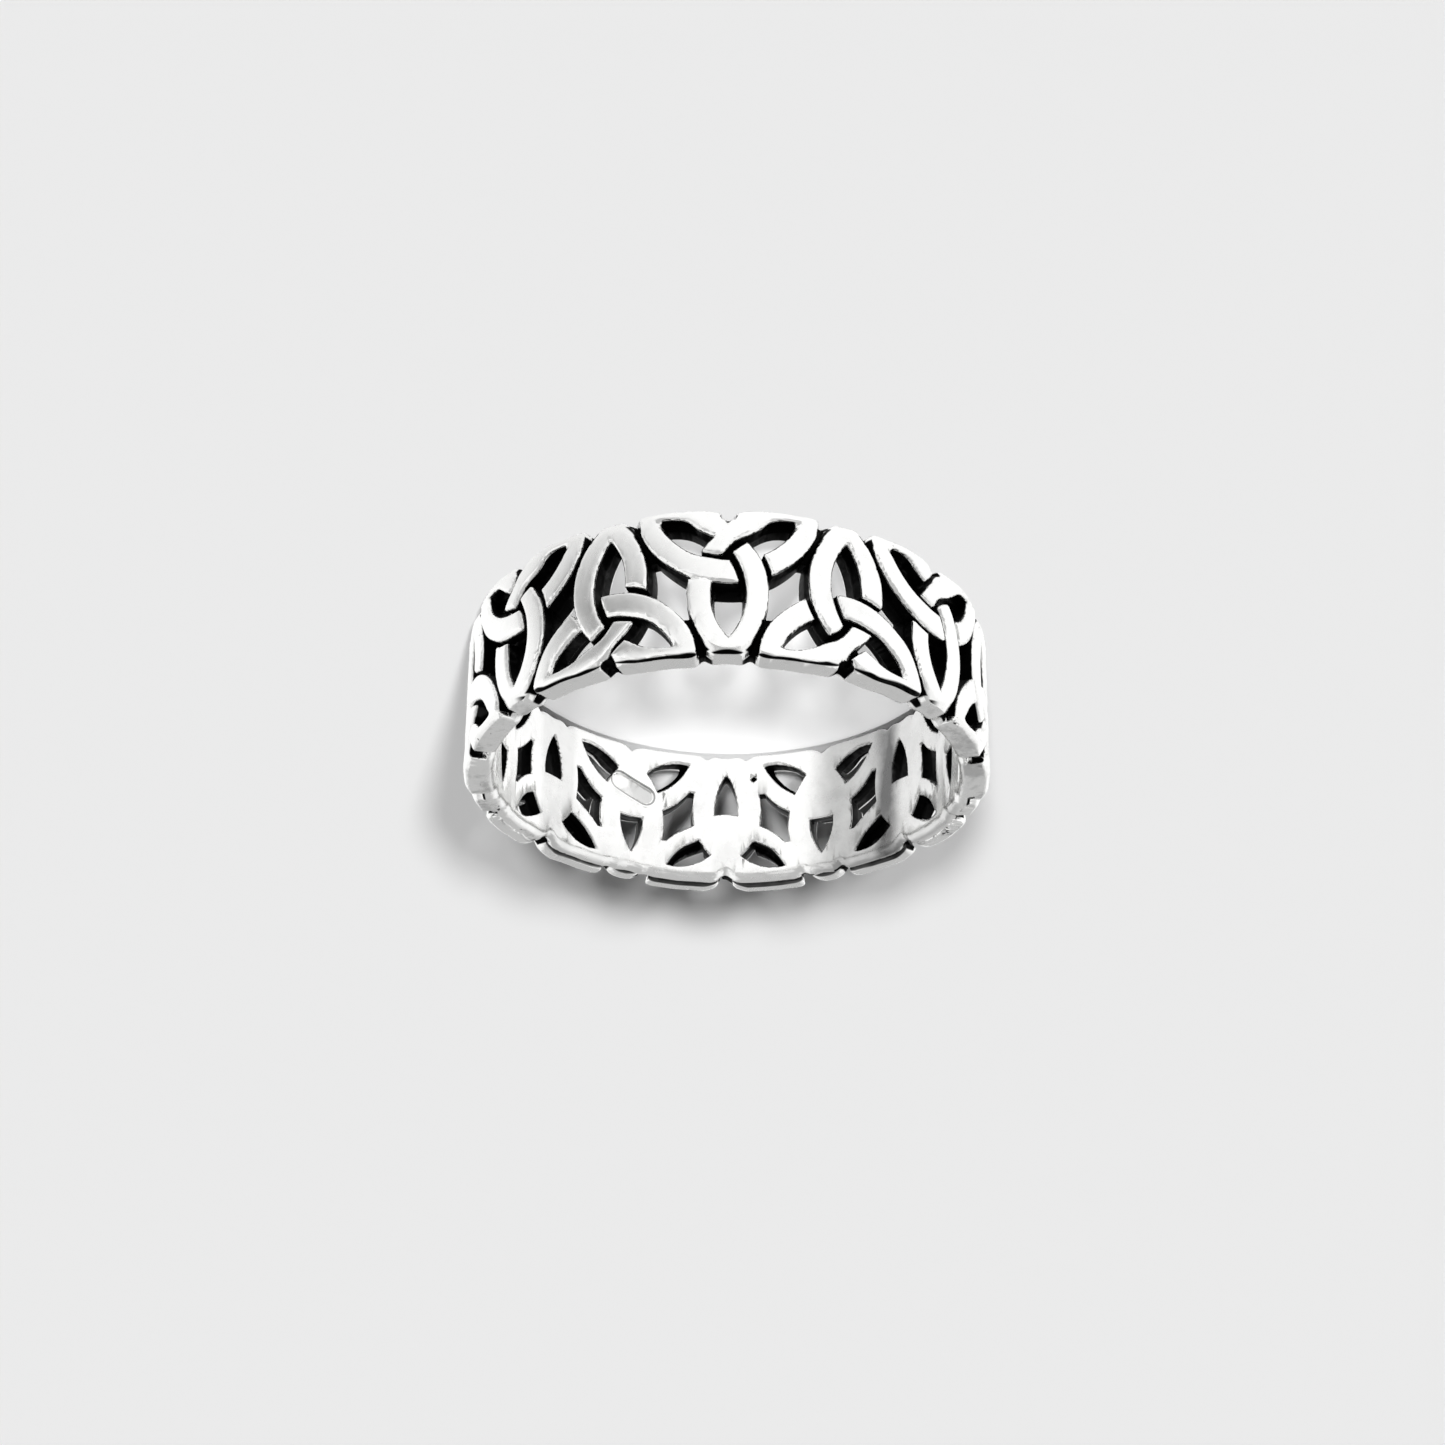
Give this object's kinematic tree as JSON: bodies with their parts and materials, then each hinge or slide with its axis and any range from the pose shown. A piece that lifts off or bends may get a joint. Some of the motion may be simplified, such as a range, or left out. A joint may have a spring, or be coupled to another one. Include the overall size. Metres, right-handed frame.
{
  "type": "ring",
  "caption": "Pierced silver band ring of woven three-cornered Celtic knots, alternately upright and turned over, with blackened recesses.",
  "frame": {"origin": "centre of the finger hole, level with the ring's lowest edge, on the surface that the ring lies on", "axes": "+Z along the finger, up out of the ring as it lies on its side; -Y out through the middle of a knot that stands on its feet"},
  "size_m": [0.0206, 0.0206, 0.0064],
  "materials": {
    "oxidised_silver": "polished silver strands over recesses blackened by oxidation"
  },
  "bodies": {
    "root": {"knot_band": "oxidised_silver"}
  },
  "joints": []
}
